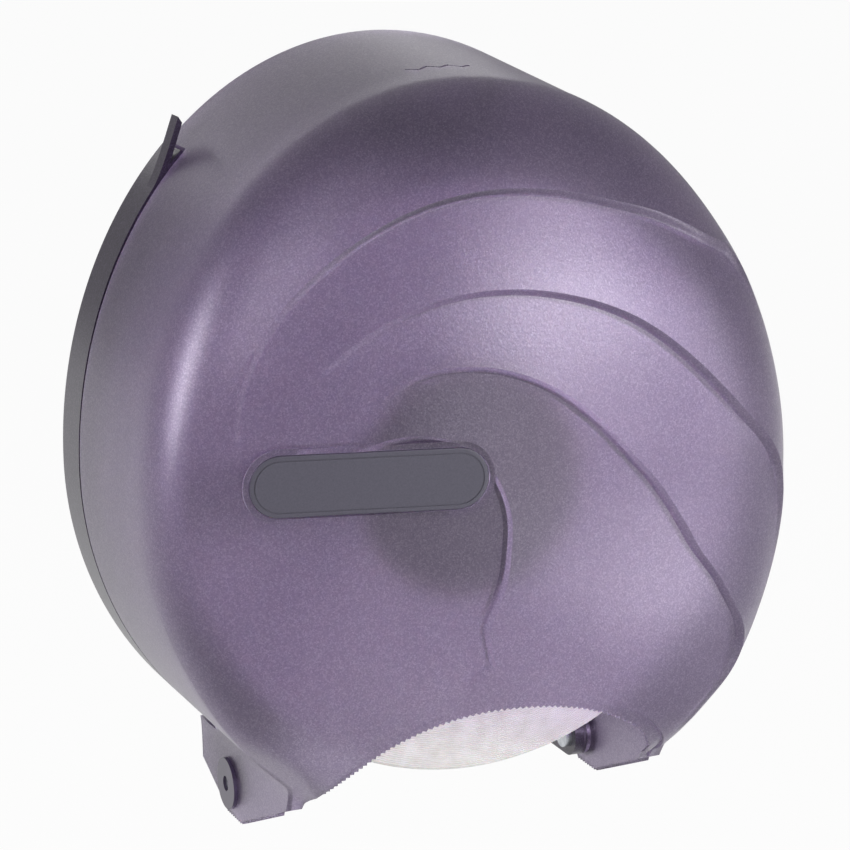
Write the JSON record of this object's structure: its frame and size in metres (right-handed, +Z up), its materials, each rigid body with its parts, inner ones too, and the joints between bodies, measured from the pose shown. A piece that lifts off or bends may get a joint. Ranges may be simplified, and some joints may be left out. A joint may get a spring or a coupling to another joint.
{
  "type": "jumbo toilet roll dispenser",
  "caption": "Wall-mounted round dispenser for a jumbo toilet roll: swirled translucent cover that hinges down, rear housing, spindle and sprung latch.",
  "frame": {"origin": "on the wall plane, at the centre of the four wall screw holes, in line with the spindle", "axes": "+Y into the wall along the spindle, -Y towards the user, +X to the user's right, +Z up"},
  "size_m": [0.26, 0.146, 0.3027],
  "materials": {
    "cover_plastic": "translucent smoke purple with a fine pearl grain, satin",
    "housing_plastic": "translucent dark smoke, satin",
    "label_plastic": "plain dark grey, satin, left bare",
    "dark_plastic": "moulded, matt black",
    "latch_plastic": "moulded, matt charcoal",
    "bearing_plastic": "natural acetal, smooth",
    "zinc_steel": "zinc plated",
    "zinc_alloy": "die cast, grey, satin",
    "spring_steel": "oiled spring steel",
    "cardboard": "wound grey-brown board",
    "tissue": "soft white tissue"
  },
  "bodies": {
    "housing": {"rear_housing": "housing_plastic", "hinge_pin_left": "zinc_steel", "hinge_pin_right": "zinc_steel", "spindle_bracket": "zinc_alloy", "bracket_screws": "zinc_steel", "spindle_axle": "zinc_steel", "thrust_washer": "bearing_plastic", "axle_clip": "spring_steel", "latch_frame": "dark_plastic", "frame_screws": "zinc_steel", "latch_pin": "zinc_steel", "latch_spring": "spring_steel"},
    "cover": {"front_cover": "cover_plastic", "label_plate": "label_plastic", "hinge_bush_left": "dark_plastic", "hinge_bush_right": "dark_plastic"},
    "latch": {"latch_lever": "latch_plastic"},
    "spool": {"hub_drum": "dark_plastic", "hub_bush": "bearing_plastic", "hub_cap": "dark_plastic", "roll_core": "cardboard", "paper_roll": "tissue"}
  },
  "joints": [
    {"name": "cover_hinge", "type": "hinge", "parent": "housing", "child": "cover", "pos_m": [0, -0.037, -0.13], "axis": [1, 0, 0], "range_deg": [0, 95]},
    {"name": "latch_pivot", "type": "hinge", "parent": "housing", "child": "latch", "pos_m": [0, -0.028, 0.138], "axis": [1, 0, 0], "range_deg": [0, 8], "stiffness_Nm_per_rad": 0.6, "springref_deg": -5.73, "deforming": ["latch_spring"]},
    {"name": "roll_spin", "type": "hinge", "parent": "housing", "child": "spool", "pos_m": [0, -0.057, 0], "axis": [0, 1, 0], "continuous": true}
  ]
}
